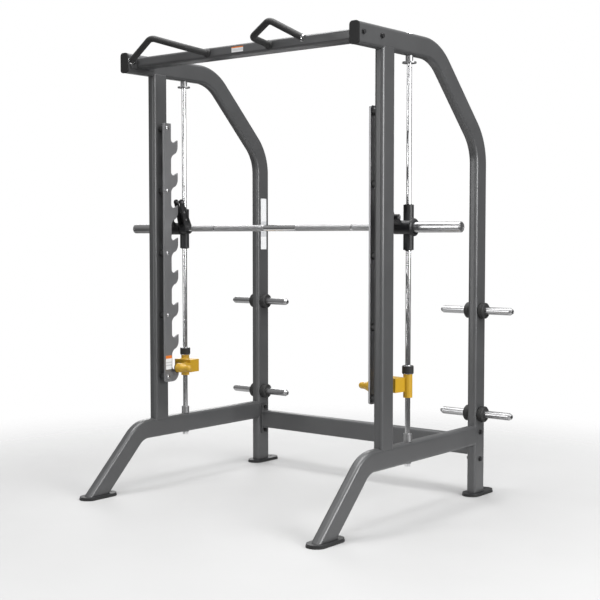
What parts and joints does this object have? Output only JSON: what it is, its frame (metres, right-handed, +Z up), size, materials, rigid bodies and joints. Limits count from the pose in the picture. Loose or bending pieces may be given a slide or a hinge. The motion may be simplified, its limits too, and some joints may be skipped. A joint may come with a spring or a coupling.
{
  "type": "smith machine",
  "caption": "Free-standing smith machine: bar with hooks on guide rods, rack plates, safety stops, weight horns and pull-up grips.",
  "frame": {"origin": "on the floor, at the centre of the machine's footprint", "axes": "+X along the barbell to the machine's right-hand frame, +Y from the open front to the rear posts, +Z up"},
  "size_m": [2.136, 1.5318, 2.3335],
  "materials": {
    "frame_powder_coat": "charcoal metallic powder coat",
    "black_casting": "satin black paint on castings and steel",
    "bar_knurl": "chrome with knurled bands and smooth rings",
    "sleeve_chrome": "satin chrome, turned",
    "chrome_parts": "hard chrome",
    "rack_steel": "brushed stainless steel",
    "plain_steel": "machined steel",
    "black_rubber": "moulded black rubber",
    "grip_rubber": "ribbed black grip rubber",
    "cap_plastic": "moulded black plastic",
    "stop_yellow": "yellow powder coat",
    "bearing_bronze": "oiled bearing bronze"
  },
  "bodies": {
    "root": {"left_top_rail": "frame_powder_coat", "right_top_rail": "frame_powder_coat", "left_slant_tube": "frame_powder_coat", "right_slant_tube": "frame_powder_coat", "left_rear_post": "frame_powder_coat", "right_rear_post": "frame_powder_coat", "left_base_rail": "frame_powder_coat", "right_base_rail": "frame_powder_coat", "left_front_post": "frame_powder_coat", "right_front_post": "frame_powder_coat", "top_cross_member": "frame_powder_coat", "rear_cross_member": "frame_powder_coat", "cross_end_plates": "frame_powder_coat", "top_rail_caps": "cap_plastic", "frame_bolts": "black_casting", "foot_plates": "black_casting", "foot_pads": "black_rubber", "left_guide_rod": "chrome_parts", "right_guide_rod": "chrome_parts", "rod_top_flanges": "plain_steel", "rod_base_collars": "plain_steel", "rod_nuts": "chrome_parts", "left_rack_plate": "rack_steel", "right_rack_plate": "rack_steel", "rack_spacers": "black_casting", "rack_bolts": "chrome_parts", "left_weight_horns": "chrome_parts", "right_weight_horns": "chrome_parts", "horn_bumpers": "black_rubber", "left_pull_up_grip": "grip_rubber", "right_pull_up_grip": "grip_rubber", "grip_end_caps": "chrome_parts"},
    "carriage": {"left_carriage": "black_casting", "right_carriage": "black_casting", "slide_liners": "bearing_bronze", "bar_bushes": "bearing_bronze", "slide_seals": "black_rubber", "roll_stop_bolts": "chrome_parts"},
    "bar": {"bar_shaft": "bar_knurl", "left_sleeve": "sleeve_chrome", "right_sleeve": "sleeve_chrome", "sleeve_collars": "black_casting", "sleeve_end_caps": "sleeve_chrome", "left_hook_bracket": "black_casting", "right_hook_bracket": "black_casting", "hook_pins": "plain_steel", "hook_rivets": "plain_steel"},
    "left_bumper": {"left_bumper_ring": "black_rubber", "left_ring_washers": "chrome_parts"},
    "left_stop": {"left_safety_stop": "stop_yellow", "left_stop_washer": "black_rubber"},
    "right_bumper": {"right_bumper_ring": "black_rubber", "right_ring_washers": "chrome_parts"},
    "right_stop": {"right_safety_stop": "stop_yellow", "right_stop_washer": "black_rubber"}
  },
  "joints": [
    {"name": "bar_travel", "type": "slide", "parent": "root", "child": "carriage", "axis": [0, 0, 1], "range_m": [-0.544, 0.657]},
    {"name": "bar_roll", "type": "hinge", "parent": "carriage", "child": "bar", "pos_m": [0, -0.068, 1.3888], "axis": [1, 0, 0], "range_deg": [-30, 19]},
    {"name": "left_stop_lift", "type": "slide", "parent": "root", "child": "left_bumper", "axis": [0, 0, 1], "range_m": [0, 0.5241]},
    {"name": "left_stop_swing", "type": "hinge", "parent": "left_bumper", "child": "left_stop", "pos_m": [-0.74, -0.01, 0.63637], "axis": [0, 0, -1], "range_deg": [-30, 6]},
    {"name": "right_stop_lift", "type": "slide", "parent": "root", "child": "right_bumper", "axis": [0, 0, 1], "range_m": [0, 0.5241]},
    {"name": "right_stop_swing", "type": "hinge", "parent": "right_bumper", "child": "right_stop", "pos_m": [0.74, -0.01, 0.63637], "axis": [0, 0, 1], "range_deg": [-30, 6]}
  ]
}
